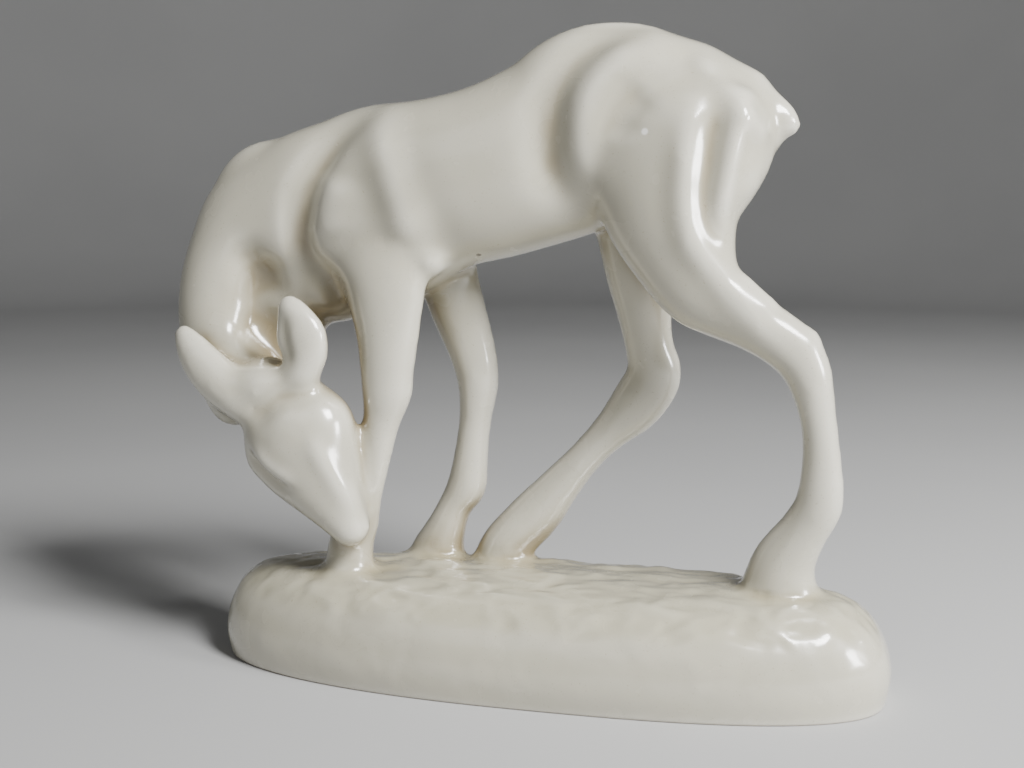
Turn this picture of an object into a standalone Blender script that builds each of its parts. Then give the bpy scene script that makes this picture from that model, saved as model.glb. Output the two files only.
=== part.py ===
"""One-piece glazed ceramic figurine: a grazing deer standing on a rounded mound.

Lengths below are in millimetres. X runs along the base towards the rump, -Y is the side the
deer's turned head faces, and heights of the animal are taken from the top of the mound.
"""

import math

import bmesh
import bpy
import numpy as np
from mathutils import Matrix, Vector, noise

MM = 0.001

# Mound
BASE_LENGTH = 297.5
BASE_CENTRE_X = 1.2
BASE_DEPTH = 99.0
BASE_HEIGHT = 44.5
BASE_EDGE_RADIUS = 27.0
BASE_TUCK = 2.0
BASE_CROWN = 1.5
BASE_SHOULDER_SHARE = 0.24
HUMMOCK_HEIGHT = 1.1
HUMMOCK_LENGTH = 15.0
HUMMOCK_BREADTH = 9.0
UNEVEN_LENGTH = 45.0
FOOTING = 1.5
FEET_START = 4.0
FOOT_RING_WIDTH = 9.0
FOOT_RECESS_DEPTH = 2.0
FOOT_ALLOWANCE = 0.5

# Animal
MIDLINE_Y = 12.0
NEAR_FORE_Y = -8.0
FAR_FORE_Y = 28.0
NEAR_HIND_Y = -4.0
FAR_HIND_Y = 28.0

# Surface
CLAY_GRAIN = 2.0
SOFTENING_PASSES = 14
POLISHING_PASSES = 2
SKIN_FACES = 10500

# Stations along each mass: x, y, z, half thickness in the side view, half width across.
TORSO = (
    (-112, MIDLINE_Y, 149, 32, 20),
    (-92, MIDLINE_Y, 152, 43, 26),
    (-70, MIDLINE_Y, 160, 43.5, 28),
    (-45, MIDLINE_Y, 167.5, 38, 29),
    (-22, MIDLINE_Y, 173, 38, 28),
    (2, MIDLINE_Y, 181.5, 39.8, 26),
    (24, MIDLINE_Y, 191, 43, 26),
    (50, MIDLINE_Y, 190.5, 39.5, 26),
    (68, MIDLINE_Y, 191.5, 33, 22),
    (77, MIDLINE_Y, 191.5, 26.5, 18.5),
    (84.5, MIDLINE_Y, 190.5, 22, 14.5),
    (89, MIDLINE_Y, 188.5, 15.5, 11.5),
)
NECK = (
    (-88, 12, 163, 35, 25),
    (-112, 11, 157, 33, 23),
    (-134, 9, 149, 27.5, 20),
    (-146, 6, 135, 20.3, 17.5),
    (-151, 4, 120, 18.6, 16.5),
    (-150.5, 1, 104, 18.4, 15.5),
    (-144, -4, 89, 18, 15),
    (-133.5, -11, 75, 17.5, 14),
)
BRISKET = (
    (-104, MIDLINE_Y, 150, 26, 19),
    (-94, MIDLINE_Y, 123, 23, 17),
)
THROAT_WEB = (
    (-106, 9, 141, 22, 14),
    (-115, 10, 124, 21, 13),
    (-123, 10, 103, 20, 10.5),
    (-126, 6, 84, 16, 9),
)
NEAR_ELBOW = (
    (-60, 0, 145, 14, 11),
    (-52, -2, 139, 11, 10),
    (-48.5, -3, 135.5, 8.5, 8.5),
)
NEAR_FORELEG = (
    (-78, 0, 150, 27, 13),
    (-70, -4, 130, 22, 12),
    (-66.5, -7, 108, 15.5, 11),
    (-66.5, NEAR_FORE_Y, 86, 12.2, 10),
    (-66.7, NEAR_FORE_Y, 77, 11.6, 10),
    (-69.5, NEAR_FORE_Y, 63, 8.4, 8),
    (-74, NEAR_FORE_Y, 41, 7.0, 7.2),
    (-77.5, NEAR_FORE_Y, 28, 7.4, 7.5),
    (-80.5, -7, 17, 8.8, 8.5),
    (-84.5, -7, 10, 10.4, 10),
    (-86, -8, -4, 10.6, 11.5),
)
FAR_FORELEG = (
    (-55, 22, 146, 22, 11),
    (-49, 26, 127, 15, 11),
    (-44, FAR_FORE_Y, 110, 13.2, 10),
    (-38, FAR_FORE_Y, 93, 11.4, 9.5),
    (-35, FAR_FORE_Y, 78, 9.9, 9.5),
    (-36.5, FAR_FORE_Y, 60, 7.8, 8),
    (-39, FAR_FORE_Y, 40, 8.6, 8),
    (-41, FAR_FORE_Y, 28, 9.8, 8.5),
    (-46, FAR_FORE_Y, 20, 8.2, 8.5),
    (-50, 27, 10, 9.5, 9.5),
    (-55, 27, -3, 13, 12),
)
NEAR_HIND_LEG = (
    (54, 2, 190, 41, 20),
    (55.5, 0, 171, 37.5, 19),
    (56.5, -2, 153, 28.8, 17.5),
    (62.5, -3, 135, 21.5, 15),
    (69.5, -3.5, 124, 18, 13),
    (77.5, NEAR_HIND_Y, 118, 15, 11.5),
    (92, NEAR_HIND_Y, 109.5, 12, 10),
    (104, NEAR_HIND_Y, 101.5, 11.3, 9.5),
    (111.5, NEAR_HIND_Y, 92, 10.2, 9),
    (116, NEAR_HIND_Y, 76, 8.0, 8),
    (118.5, NEAR_HIND_Y, 60, 7.8, 7.5),
    (119, -4, 46, 9.2, 8),
    (118, -3, 35, 10.2, 8.5),
    (112.3, -1, 24, 10.6, 9),
    (105, 1, 10, 13.5, 11),
    (103, 2, -4, 17, 14),
)
NEAR_HOCK = (
    (103, NEAR_HIND_Y, 104, 9, 7.5),
    (110.5, NEAR_HIND_Y, 100.5, 9.5, 7),
)
FAR_HIND_LEG = (
    (46, 22, 180, 34, 17),
    (42, 25, 155, 26, 14),
    (39.5, 27, 131, 17, 12),
    (41, FAR_HIND_Y, 112, 12.6, 11),
    (43.5, FAR_HIND_Y, 96, 11, 10),
    (46, FAR_HIND_Y, 84, 12.5, 9.5),
    (38, FAR_HIND_Y, 70, 12.5, 9),
    (26, FAR_HIND_Y, 57, 9, 8),
    (15, FAR_HIND_Y, 45, 8.2, 8),
    (4, FAR_HIND_Y, 32, 9.8, 8.5),
    (-7, 28, 18, 12, 10),
    (-20, 27, 4, 12, 12),
    (-25, 27, -4, 12, 13),
)
HEAD = (
    (-119, -15, 80, 13, 13),
    (-111.5, -17, 70, 21, 17),
    (-104, -19, 58.5, 27, 18.5),
    (-97.5, -20, 47, 23.5, 17),
    (-90.5, -21, 36, 17.5, 14),
    (-84, -21.5, 26, 12.2, 11),
    (-79.8, -21.5, 19.5, 9.2, 9.3),
)
POLL = (
    (-127, -24, 79.5, 9.5, 9),
    (-117, -24, 79, 11, 10),
    (-108, -23, 79.5, 10, 9),
)
LEFT_EAR = (
    (-117, -22, 67, 9, 10),
    (-129, -25, 75.5, 10.3, 9),
    (-138.5, -26, 83, 10.6, 8),
    (-146, -26, 91, 9.6, 7),
    (-151.5, -25.5, 98.5, 7.4, 5.5),
    (-154.5, -25, 103, 5, 4.2),
)
RIGHT_EAR = (
    (-107, -22, 66, 8, 9.5),
    (-102.5, -23, 77, 8, 9),
    (-99.5, -24, 87, 8.6, 8),
    (-97.8, -24.5, 95.5, 11.2, 7),
    (-99, -25, 102.5, 12.4, 6.2),
    (-101.3, -25, 109, 10.4, 5.4),
    (-103.6, -25, 114.5, 7.6, 4.6),
    (-105, -25, 117, 5.4, 4),
)
TAIL = (
    (85, 12, 202.5, 8.5, 8.5),
    (93.5, 11, 199, 6, 6.4),
    (99.8, 10, 193.5, 5.6, 5.8),
    (101.8, 10, 190.2, 5, 5.4),
)
MASSES = (
    (TORSO, NECK, BRISKET, THROAT_WEB, TAIL)
    + (NEAR_ELBOW, NEAR_FORELEG, FAR_FORELEG)
    + (NEAR_HIND_LEG, NEAR_HOCK, FAR_HIND_LEG)
    + (HEAD, POLL, LEFT_EAR, RIGHT_EAR)
)

# Creases (negative depth) and ridges (positive) seen from the side: depth, width, then x, z points.
FLANK_MARKS = (
    (-4.4, 7.0, (-66, 202), (-74, 198), (-87, 188), (-96.5, 174), (-103, 157), (-105.3, 144), (-102.5, 134.5),
     (-94.5, 127), (-85, 120), (-77, 110)),
    (1.6, 12.0, (-84, 172), (-90, 157), (-88, 142)),
    (4.2, 7.5, (-72, 203), (-67, 189), (-61, 171), (-56, 156), (-53, 143), (-50, 130)),
    (-1.8, 9.0, (-75, 178), (-69, 160), (-66, 148)),
    (-2.4, 7.5, (-62, 196), (-54, 174), (-47, 157), (-42, 146), (-38, 136), (-40, 126)),
    (-5.0, 9.0, (56, 231), (42, 229), (27.5, 226), (16, 217), (8.5, 204.5), (6.5, 190), (8, 174), (15.5, 159),
     (25, 148)),
    (2.8, 9.5, (58, 224), (35, 218), (23, 205), (19, 189), (20.5, 172), (29, 153)),
    (-1.5, 10.0, (47, 205), (38, 194), (37, 182)),
    (3.4, 6.5, (66, 204), (64.2, 189), (63, 172), (63.3, 157), (66, 143.5), (74, 132.5), (85, 120), (96, 109),
     (107, 101)),
    (-2.6, 5.5, (75, 208), (73, 194), (70.5, 176), (69.5, 160), (73, 147), (81, 134)),
    (3.4, 4.5, (86, 210), (83, 194), (79, 175), (76, 160), (75.5, 149), (80, 138)),
    (1.6, 4.0, (84, 134), (92, 125), (101, 115)),
    (1.8, 5.0, (83, 193), (76.5, 205), (70, 211), (60, 216)),
    (1.6, 3.6, (84.5, 188), (87, 196)),
    (1.4, 3.4, (89, 183), (91, 191)),
)
HEAD_MARKS = (
    (-3.8, 3.0, (-125, 54), (-120.5, 49), (-114.5, 43), (-108, 39), (-100, 36)),
    (1.6, 3.5, (-121, 56), (-113, 48), (-105, 43), (-98, 40)),
    (-1.8, 5.0, (-90, 78), (-102, 78), (-112, 72), (-119, 62)),
    (2.0, 4.0, (-93, 64), (-86.5, 50), (-80, 38), (-74, 26)),
    (-1.8, 3.0, (-106, 115), (-105.5, 104), (-103.5, 95), (-103, 87)),
)
NECK_MARKS = ((-5.0, 6.5, (-138, 143), (-130, 133), (-122, 122), (-120, 112)),)

ACROSS = Vector((0.0, 1.0, 0.0))


def spline_through(stations, spacing=3.0):
    """Positions and half widths along a smooth curve through the stations."""
    given = np.array(stations, float)
    ends = 2 * given[[0, -1]] - given[[1, -2]]
    knots = np.vstack([ends[:1], given, ends[1:]])
    samples = []
    for before, start, end, after in zip(knots, knots[1:], knots[2:], knots[3:]):
        count = max(2, round(float(np.linalg.norm((end - start)[:3])) / spacing))
        for t in np.arange(count) / count:
            samples.append(
                0.5
                * (
                    2 * start
                    + (end - before) * t
                    + (2 * before - 5 * start + 4 * end - after) * t**2
                    + (3 * start - before - 3 * end + after) * t**3
                )
            )
    samples.append(given[-1])
    return np.array(samples)


def rounded_ends(samples):
    """The samples with a domed run of shrinking ones beyond each end."""
    caps = []
    for end, inner in ((samples[0], samples[1]), (samples[-1], samples[-2])):
        outward = end[:3] - inner[:3]
        outward = outward / np.linalg.norm(outward)
        reach = min(end[3], end[4])
        cap = []
        for turn in np.radians((30, 55, 75, 88)):
            ring = end.copy()
            ring[:3] += outward * reach * math.sin(turn)
            ring[3:5] *= math.cos(turn)
            cap.append(ring)
        caps.append(cap)
    return np.vstack([caps[0][::-1], samples, caps[1]])


def add_limb(bm, stations, sides=20, across=ACROSS):
    """Adds one closed tapering mass whose rings stay square to its path."""
    samples = rounded_ends(spline_through(stations))
    rings = []
    for i, (x, y, z, thick, wide) in enumerate(samples):
        along = samples[min(i + 1, len(samples) - 1)][:3] - samples[max(i - 1, 0)][:3]
        along = Vector(along).normalized()
        side = (across - along * across.dot(along)).normalized()
        up = along.cross(side)
        ring = []
        for k in range(sides):
            turn = math.tau * k / sides
            offset = up * (thick * math.cos(turn)) + side * (wide * math.sin(turn))
            ring.append(bm.verts.new((Vector((x, y, z + BASE_HEIGHT + FOOTING)) + offset) * MM))
        rings.append(ring)
    for low, high in zip(rings, rings[1:]):
        for k in range(sides):
            following = (k + 1) % sides
            bm.faces.new((low[k], high[k], high[following], low[following]))
    bm.faces.new(rings[0])
    bm.faces.new(rings[-1][::-1])


def base_outline(count=96):
    """Plan outline of the mound: a long oval, blunter at the rump end."""
    points = []
    for k in range(count):
        turn = math.tau * k / count
        power = 2 / (2.65 if math.cos(turn) > 0 else 2.25)
        x = math.copysign(abs(math.cos(turn)) ** power, math.cos(turn)) * BASE_LENGTH / 2
        y = math.copysign(abs(math.sin(turn)) ** power, math.sin(turn)) * BASE_DEPTH / 2
        points.append((x, y))
    return points


def base_levels():
    """Inset and height of each contour of the mound, from under the table up to its crown."""
    shoulder = BASE_HEIGHT * BASE_SHOULDER_SHARE
    levels = [(BASE_TUCK * 1.6, -6.0), (BASE_TUCK, 0.0), (BASE_TUCK * 0.35, shoulder * 0.5)]
    for turn in np.radians(np.arange(0, 86, 12)):
        rise = (BASE_HEIGHT - BASE_CROWN - shoulder) * math.sin(turn)
        levels.append((BASE_EDGE_RADIUS * (1 - math.cos(turn)), shoulder + rise))
    for share in (0.35, 0.7):
        inset = BASE_EDGE_RADIUS + (BASE_DEPTH / 2 - BASE_EDGE_RADIUS) * share
        levels.append((inset, BASE_HEIGHT - BASE_CROWN * (1 - share)))
    return levels


def add_mound(bm):
    outline = base_outline()
    rings = []
    for inset, height in base_levels():
        narrow_x = 1 - inset / (BASE_LENGTH / 2)
        narrow_y = 1 - inset / (BASE_DEPTH / 2)
        rings.append(
            [
                bm.verts.new(Vector((BASE_CENTRE_X + x * narrow_x, y * narrow_y, height)) * MM)
                for x, y in outline
            ]
        )
    count = len(outline)
    for low, high in zip(rings, rings[1:]):
        for k in range(count):
            following = (k + 1) % count
            bm.faces.new((low[k], low[following], high[following], high[k]))
    bm.faces.new(rings[0][::-1])
    bm.faces.new(rings[-1])


def raw_clay():
    """All masses laid over one another in one mesh."""
    bm = bmesh.new()
    add_mound(bm)
    for stations in MASSES:
        add_limb(bm, stations)
    bmesh.ops.recalc_face_normals(bm, faces=bm.faces)
    mesh = bpy.data.meshes.new("clay")
    bm.to_mesh(mesh)
    bm.free()
    return bpy.data.objects.new("deer_figurine", mesh)


def settle(obj):
    """Replaces an object's mesh with what its modifiers make of it."""
    bpy.context.view_layer.update()
    evaluated = obj.evaluated_get(bpy.context.evaluated_depsgraph_get())
    mesh = bpy.data.meshes.new_from_object(evaluated)
    obj.modifiers.clear()
    obj.data = mesh
    return obj


def merge_masses(obj, grain):
    remesh = obj.modifiers.new("merge", "REMESH")
    remesh.mode = "VOXEL"
    remesh.voxel_size = grain * MM
    settle(obj)


def soften(obj, passes):
    smooth = obj.modifiers.new("soften", "SMOOTH")
    smooth.factor = 0.5
    smooth.iterations = passes
    settle(obj)


def add_cutter(name, bm):
    bmesh.ops.recalc_face_normals(bm, faces=bm.faces)
    mesh = bpy.data.meshes.new(name)
    bm.to_mesh(mesh)
    bm.free()
    cutter = bpy.data.objects.new(name, mesh)
    cutter.hide_render = True
    cutter.display_type = "WIRE"
    bpy.context.scene.collection.objects.link(cutter)
    return cutter


def floor_cutter():
    """A slab under the table plane with the shallow recess of the underside standing on it."""
    bm = bmesh.new()
    reach = BASE_LENGTH
    slab = bmesh.ops.create_grid(bm, x_segments=1, y_segments=1, size=reach * MM)["verts"]
    bottom = bmesh.ops.extrude_face_region(bm, geom=[slab[0].link_faces[0]])["geom"]
    for item in bottom:
        if isinstance(item, bmesh.types.BMVert):
            item.co.z -= 30 * MM
    return add_cutter("floor_cut", bm)


def recess_cutter():
    """The oval panel set back inside the foot ring."""
    bm = bmesh.new()
    inset = BASE_TUCK + FOOT_RING_WIDTH
    narrow_x = 1 - inset / (BASE_LENGTH / 2)
    narrow_y = 1 - inset / (BASE_DEPTH / 2)
    outline = base_outline(48)
    low = [
        bm.verts.new(Vector((BASE_CENTRE_X + x * narrow_x, y * narrow_y, -1.0)) * MM)
        for x, y in outline
    ]
    high = [
        bm.verts.new(
            Vector((BASE_CENTRE_X + x * narrow_x * 0.985, y * narrow_y * 0.97, FOOT_RECESS_DEPTH)) * MM
        )
        for x, y in outline
    ]
    for k in range(len(outline)):
        following = (k + 1) % len(outline)
        bm.faces.new((low[k], low[following], high[following], high[k]))
    bm.faces.new(low[::-1])
    bm.faces.new(high)
    return add_cutter("recess_cut", bm)


def cut(obj, cutter):
    boolean = obj.modifiers.new(cutter.name, "BOOLEAN")
    boolean.operation = "DIFFERENCE"
    boolean.solver = "EXACT"
    boolean.object = cutter


def distance_to_line(points, line):
    """Distance of each 2-D point from a polyline, and how far along the line its foot lies, 0 to 1."""
    nearest = np.full(len(points), np.inf)
    along = np.zeros(len(points))
    lengths = np.linalg.norm(np.diff(line, axis=0), axis=1)
    travelled = np.concatenate([[0.0], np.cumsum(lengths)])
    for start, end, length, before in zip(line, line[1:], lengths, travelled):
        direction = (end - start) / length
        reach = np.clip((points - start) @ direction, 0.0, length)
        gap = np.linalg.norm(points - start - reach[:, None] * direction, axis=1)
        closer = gap < nearest
        nearest[closer] = gap[closer]
        along[closer] = (before + reach[closer]) / travelled[-1]
    return nearest, along


def press_marks(obj, marks, facing, keep):
    """Presses creases into, or raises ridges from, the side of the surface that faces along Y."""
    mesh = obj.data
    count = len(mesh.vertices)
    points = np.empty(count * 3)
    mesh.vertices.foreach_get("co", points)
    points = points.reshape(-1, 3) / MM
    normals = np.empty(count * 3)
    mesh.vertices.foreach_get("normal", normals)
    normals = normals.reshape(-1, 3)
    seen = eased(normals[:, 1] * facing * 2 + 0.12) * keep(points)
    side_view = points[:, [0, 2]] - (0.0, BASE_HEIGHT + FOOTING)
    for depth, width, *line in marks:
        stations = [(x, 0, z, 1, 1) for x, z in line]
        path = spline_through(stations, 2.0)[:, [0, 2]]
        gap, along = distance_to_line(side_view, path)
        fade = eased(np.minimum(along, 1 - along) * 3.2 + 0.05)
        points += normals * (seen * fade * depth * np.exp(-((gap / width) ** 2)))[:, None]
    mesh.vertices.foreach_set("co", (points * MM).ravel())
    mesh.update()


def roughen_ground(obj):
    """Hand-pressed hummocks over the top of the mound, and a slow unevenness round its sides."""
    normals = [vertex.normal.copy() for vertex in obj.data.vertices]
    for vertex, normal in zip(obj.data.vertices, normals):
        x, y, z = vertex.co / MM
        if z > BASE_HEIGHT + FEET_START:
            continue
        level = float(eased((normal.z - 0.45) / 0.4) * eased((z - 0.6 * BASE_HEIGHT) / 9))
        spot = Vector((x / HUMMOCK_LENGTH, y / HUMMOCK_BREADTH, 3.1))
        lumps = noise.noise(spot) + 0.5 * noise.noise(spot * 2)
        slow = noise.noise(Vector((x, y, z)) / UNEVEN_LENGTH)
        rise = HUMMOCK_HEIGHT * (1.5 * level * lumps + 0.9 * slow * float(eased(z / 12)))
        vertex.co += normal * rise * MM
    obj.data.update()


def level_off(obj, height):
    """Cuts the surface level and closes it, so that the foot stays crisp when faces are thinned out."""
    bm = bmesh.new()
    bm.from_mesh(obj.data)
    level = Vector((0.0, 0.0, height * MM))
    everything = bm.verts[:] + bm.edges[:] + bm.faces[:]
    bmesh.ops.bisect_plane(bm, geom=everything, plane_co=level, plane_no=(0, 0, 1), clear_inner=True)
    bmesh.ops.holes_fill(bm, edges=[edge for edge in bm.edges if edge.is_boundary])
    bm.to_mesh(obj.data)
    bm.free()


def centre_footprint(obj):
    """Moves the surface so that the middle of its plan box stands at the origin."""
    corners = np.array([vertex.co[:2] for vertex in obj.data.vertices])
    middle = (corners.min(axis=0) + corners.max(axis=0)) / 2
    obj.data.transform(Matrix.Translation((-middle[0], -middle[1], 0.0)))
    return middle


def eased(amount):
    """Smooth rise from 0 to 1."""
    amount = np.clip(amount, 0.0, 1.0)
    return amount * amount * (3 - 2 * amount)


def near_flank(points):
    return eased((MIDLINE_Y - points[:, 1]) / 8) * (points[:, 0] > -112)


def far_flank(points):
    return eased((points[:, 1] - MIDLINE_Y) / 8) * (points[:, 0] > -112)


def head_front(points):
    return eased((-12 - points[:, 1]) / 5) * eased((-68 - points[:, 0]) / 5)


def neck_side(points):
    return eased((-108 - points[:, 0]) / 8) * (points[:, 2] > 140)


def cream_glaze():
    material = bpy.data.materials.new("cream_glaze")
    material.use_nodes = True
    shader = material.node_tree.nodes["Principled BSDF"]
    shader.inputs["Base Color"].default_value = (0.66, 0.63, 0.53, 1.0)
    shader.inputs["Roughness"].default_value = 0.18
    shader.inputs["Metallic"].default_value = 0.0
    return material


def main():
    for old in list(bpy.data.objects):
        bpy.data.objects.remove(old)
    figurine = raw_clay()
    bpy.context.scene.collection.objects.link(figurine)
    merge_masses(figurine, CLAY_GRAIN)
    soften(figurine, SOFTENING_PASSES)
    press_marks(figurine, FLANK_MARKS, -1, near_flank)
    press_marks(figurine, FLANK_MARKS, 1, far_flank)
    press_marks(figurine, HEAD_MARKS, -1, head_front)
    press_marks(figurine, NECK_MARKS, -1, neck_side)
    roughen_ground(figurine)
    soften(figurine, POLISHING_PASSES)
    middle = centre_footprint(figurine)
    level_off(figurine, -FOOT_ALLOWANCE)
    thin = figurine.modifiers.new("thin out", "DECIMATE")
    thin.ratio = SKIN_FACES / (2 * len(figurine.data.polygons))
    for cutter in (floor_cutter(), recess_cutter()):
        cutter.location = (-middle[0], -middle[1], 0.0)
        cut(figurine, cutter)
    figurine.data.materials.append(cream_glaze())
    figurine.data.shade_smooth()


if __name__ == "__main__":
    main()
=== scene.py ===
"""Ceramic figurine of a grazing deer, cast in one piece with its mound and dipped in cream glaze.

The clay masses are lofted, merged and softened into one skin, pressed with the modeller's creases,
set on a foot ring and glazed. Shapes are given in millimetres: X runs towards the rump, -Y is the
side that the turned head faces, and heights on the animal are taken from the top of the mound.
"""

import logging
import math
from dataclasses import dataclass, field
from enum import Enum
from typing import Callable

import bmesh
import bpy
import numpy as np
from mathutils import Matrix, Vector
from mathutils.bvhtree import BVHTree


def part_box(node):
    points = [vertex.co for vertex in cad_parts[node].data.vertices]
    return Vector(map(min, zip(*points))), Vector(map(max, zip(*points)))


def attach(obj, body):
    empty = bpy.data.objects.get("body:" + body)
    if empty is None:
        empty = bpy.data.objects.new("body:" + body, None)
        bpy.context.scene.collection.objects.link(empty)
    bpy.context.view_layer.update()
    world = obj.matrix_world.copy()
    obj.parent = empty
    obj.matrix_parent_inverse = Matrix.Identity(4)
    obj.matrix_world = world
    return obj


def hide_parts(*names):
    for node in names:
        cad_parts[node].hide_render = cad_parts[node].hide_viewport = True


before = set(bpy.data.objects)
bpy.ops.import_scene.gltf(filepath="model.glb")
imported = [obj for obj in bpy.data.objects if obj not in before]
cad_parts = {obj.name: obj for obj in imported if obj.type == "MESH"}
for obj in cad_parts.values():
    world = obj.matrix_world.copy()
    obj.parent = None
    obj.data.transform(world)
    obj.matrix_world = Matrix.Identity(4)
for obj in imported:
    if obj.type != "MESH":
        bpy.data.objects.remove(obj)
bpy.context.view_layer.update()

MM = 0.001
NODE = "deer_figurine"
REPORT = logging.getLogger("figurine")

Socket = bpy.types.NodeSocket
Place = tuple[float, float, float]
Colour = tuple[float, float, float]
Stations = tuple[tuple[float, float, float, float, float], ...]
Line = tuple[tuple[float, float], ...]


class Facing(Enum):
    """Side of the animal that a pressed mark lies on."""

    NEAR = -1
    FAR = 1


class Attribute(Enum):
    """Point values that the glaze and the mound's relief read from the skin."""

    POOL = "pool"
    GROUND = "ground"
    FOOT = "foot"
    # painted shade: how closed in each point lies, for the glaze to darken
    PAINTED_SHADE = "painted_shade"


def eased(amount: np.ndarray) -> np.ndarray:
    """Smooth rise from 0 to 1, held level outside that range."""
    amount = np.clip(amount, 0.0, 1.0)
    return amount * amount * (3 - 2 * amount)


@dataclass(frozen=True)
class Mass:
    """One tapering lump of clay, lofted through oval rings along a smooth path.

    Each station is x, y, z, half thickness in the side view and half width across.
    """

    stations: Stations
    sides: int = 28
    spacing: float = 2.5

    def samples(self) -> np.ndarray:
        """Runs a smooth curve through the stations.

        Returns:
            One row of position and half widths for each ring between the ends.
        """
        given = np.array(self.stations, float)
        ends = 2 * given[[0, -1]] - given[[1, -2]]
        knots = np.vstack([ends[:1], given, ends[1:]])
        rows = []
        for before, start, end, after in zip(knots, knots[1:], knots[2:], knots[3:]):
            count = max(2, round(float(np.linalg.norm((end - start)[:3])) / self.spacing))
            for t in np.arange(count) / count:
                bend = (2 * before - 5 * start + 4 * end - after) * t**2
                twist = (3 * start - before - 3 * end + after) * t**3
                rows.append(0.5 * (2 * start + (end - before) * t + bend + twist))
        rows.append(given[-1])
        return np.array(rows)

    def rings(self) -> np.ndarray:
        """Adds a domed run of shrinking rings beyond each end.

        Returns:
            All rings of the mass, from dome to dome.
        """
        rows = self.samples()
        caps = []
        for end, inner in ((rows[0], rows[1]), (rows[-1], rows[-2])):
            outward = end[:3] - inner[:3]
            outward = outward / np.linalg.norm(outward)
            cap = []
            for turn in np.radians((25, 45, 62, 76, 88)):
                ring = end.copy()
                ring[:3] += outward * min(end[3], end[4]) * math.sin(turn)
                ring[3:5] *= math.cos(turn)
                cap.append(ring)
            caps.append(cap)
        return np.vstack([caps[0][::-1], rows, caps[1]])

    def loft(self, bm: bmesh.types.BMesh, datum: float) -> None:
        """Adds the mass to a mesh as one closed surface.

        Args:
            bm: Mesh under construction.
            datum: Height of the animal's zero above the table, in millimetres.
        """
        rows = self.rings()
        across = Vector((0.0, 1.0, 0.0))
        loops = []
        for i, (x, y, z, thick, wide) in enumerate(rows):
            along = Vector(rows[min(i + 1, len(rows) - 1)][:3] - rows[max(i - 1, 0)][:3]).normalized()
            side = (across - along * across.dot(along)).normalized()
            up = along.cross(side)
            centre = Vector((x, y, z + datum))
            loop = []
            for k in range(self.sides):
                turn = math.tau * k / self.sides
                offset = up * (thick * math.cos(turn)) + side * (wide * math.sin(turn))
                loop.append(bm.verts.new((centre + offset) * MM))
            loops.append(loop)
        for low, high in zip(loops, loops[1:]):
            for k in range(self.sides):
                following = (k + 1) % self.sides
                bm.faces.new((low[k], high[k], high[following], low[following]))
        bm.faces.new(loops[0])
        bm.faces.new(loops[-1][::-1])


@dataclass(frozen=True)
class Mark:
    """Crease pressed into the clay, or ridge raised on it, along a line in the side view.

    Depth is negative for a crease, and the line fades out towards its two ends.
    """

    depth: float
    width: float
    line: Line
    fade: float = 3.2

    def path(self) -> np.ndarray:
        """Smooth version of the line, as x and z rows."""
        stations = tuple((x, 0.0, z, 1.0, 1.0) for x, z in self.line)
        return Mass(stations, spacing=2.0).samples()[:, [0, 2]]

    def lift(self, side_view: np.ndarray) -> np.ndarray:
        """Works out how far each point moves along its normal.

        Args:
            side_view: x and z of each point, in millimetres.

        Returns:
            The signed travel of each point, in millimetres.
        """
        path = self.path()
        nearest = np.full(len(side_view), np.inf)
        along = np.zeros(len(side_view))
        lengths = np.linalg.norm(np.diff(path, axis=0), axis=1)
        travelled = np.concatenate([[0.0], np.cumsum(lengths)])
        for start, end, length, before in zip(path, path[1:], lengths, travelled):
            direction = (end - start) / length
            reach = np.clip((side_view - start) @ direction, 0.0, length)
            gap = np.linalg.norm(side_view - start - reach[:, None] * direction, axis=1)
            closer = gap < nearest
            nearest[closer] = gap[closer]
            along[closer] = (before + reach[closer]) / travelled[-1]
        fade = eased(np.minimum(along, 1 - along) * self.fade + 0.05)
        return self.depth * fade * np.exp(-((nearest / self.width) ** 2))


@dataclass(frozen=True)
class MarkSet:
    """Marks that belong to one zone of the animal, on one of its sides."""

    facing: Facing
    marks: tuple[Mark, ...]
    zone: Callable[[np.ndarray], np.ndarray]


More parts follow.
